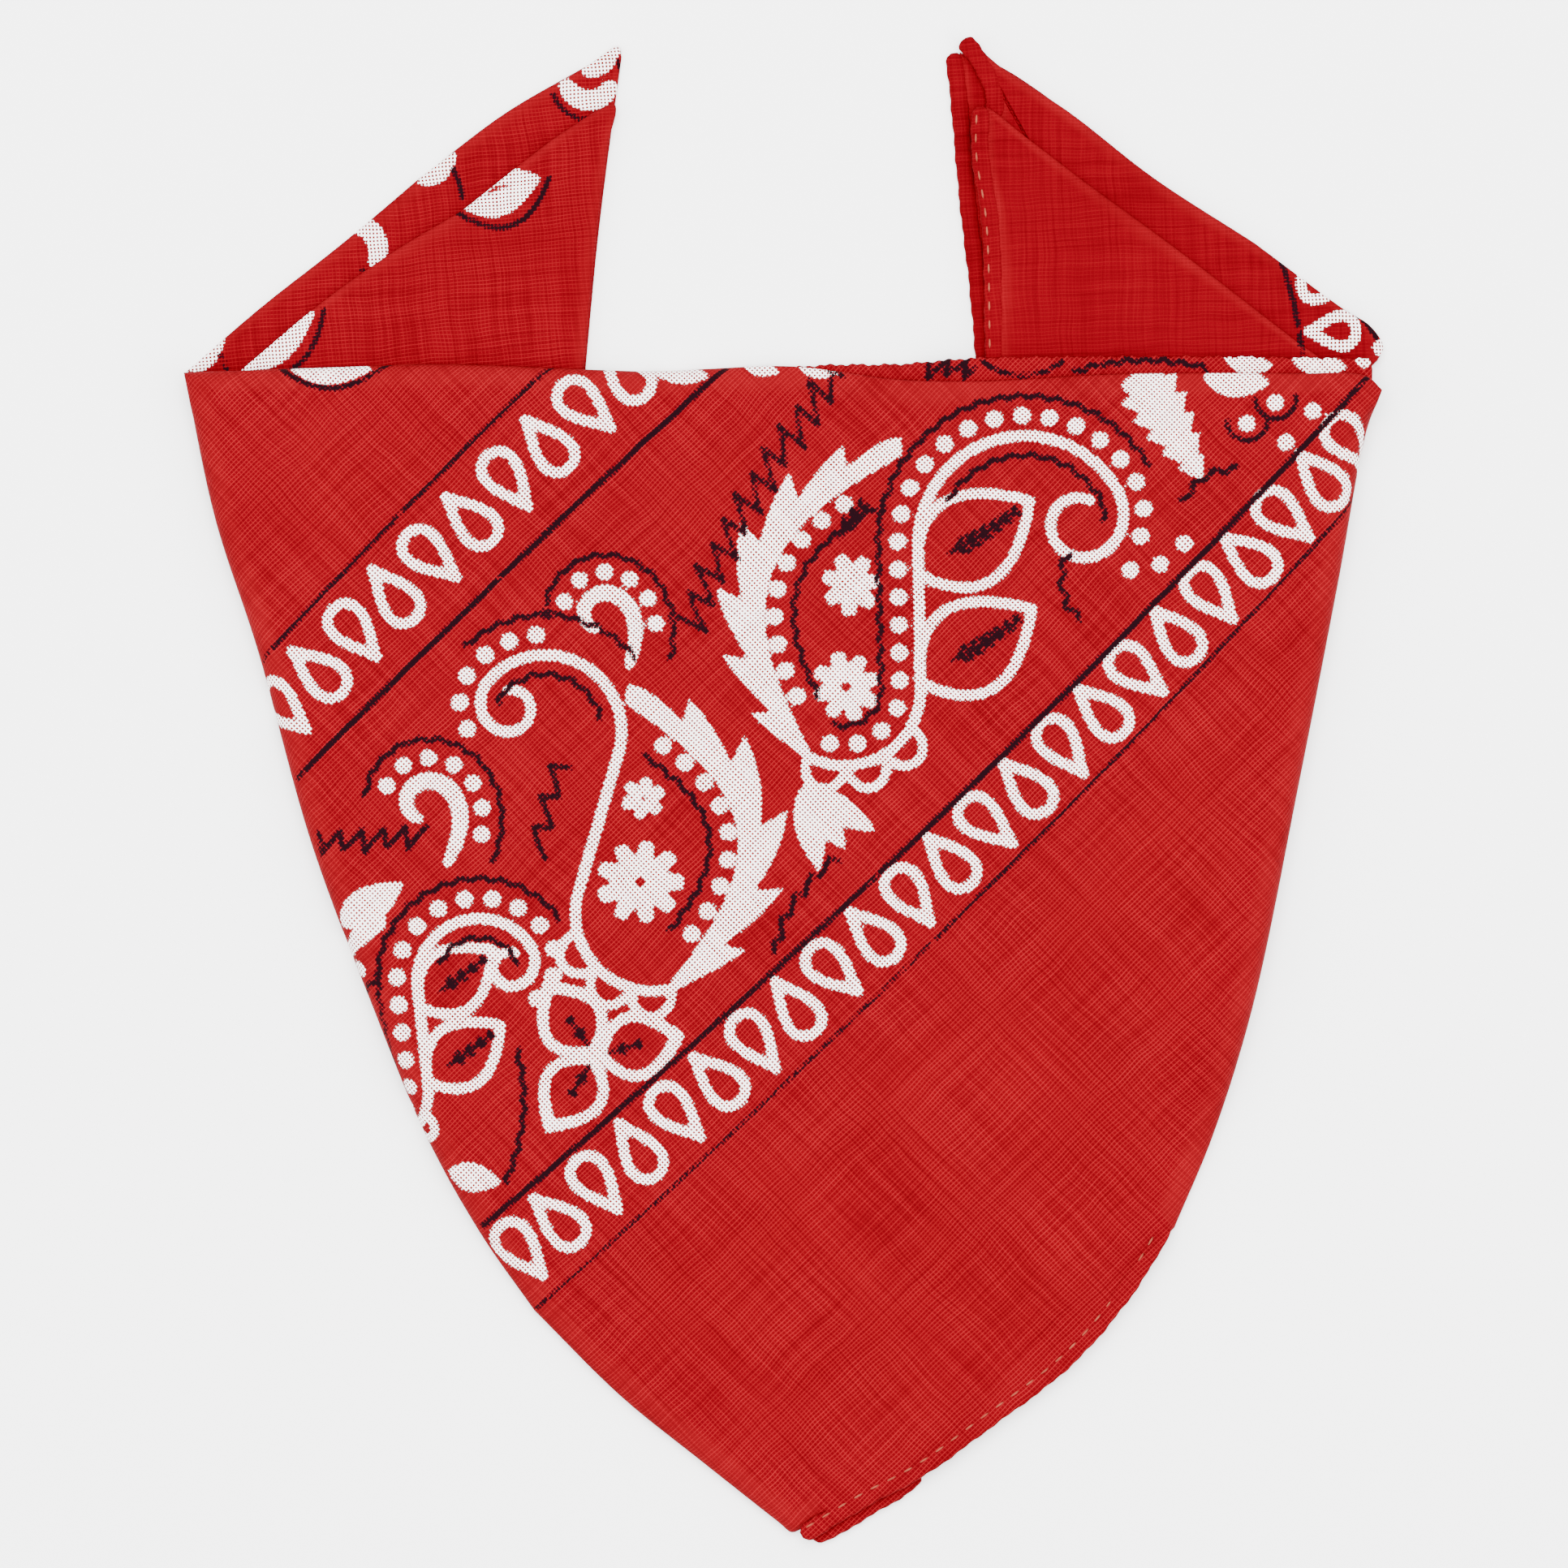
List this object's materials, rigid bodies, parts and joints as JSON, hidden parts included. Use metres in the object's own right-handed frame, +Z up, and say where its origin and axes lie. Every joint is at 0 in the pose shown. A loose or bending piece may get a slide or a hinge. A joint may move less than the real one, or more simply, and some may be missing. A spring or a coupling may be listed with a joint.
{
  "type": "folded cotton bandana",
  "caption": "Square cotton bandana with a paisley print, folded into a triangle with both ends turned back underneath, laid flat.",
  "frame": {"origin": "middle of the lay's outline seen from above, on the surface it rests on", "axes": "+Z up off the surface; +Y from the tip towards the long fold and the tails; +X to the right seen from above with the tip nearest the viewer"},
  "size_m": [0.1981, 0.2484, 0.0072],
  "materials": {
    "printed_cotton": "plain-weave red cotton, screen printed in white and dark navy, matt",
    "hemmed_cotton": "the same red cotton rolled over and stitched, unprinted, matt"
  },
  "bodies": {
    "root": {"front_panel": "printed_cotton", "inner_folds": "printed_cotton", "top_pleat": "printed_cotton", "left_tail": "printed_cotton", "left_tail_pleat": "printed_cotton", "right_tail": "printed_cotton", "right_tail_pleat": "printed_cotton", "right_tail_back": "printed_cotton", "front_hem": "hemmed_cotton", "under_hem": "hemmed_cotton", "right_tail_hem": "hemmed_cotton", "right_tail_pleat_hem": "hemmed_cotton", "right_tail_back_hem": "hemmed_cotton"}
  },
  "joints": []
}
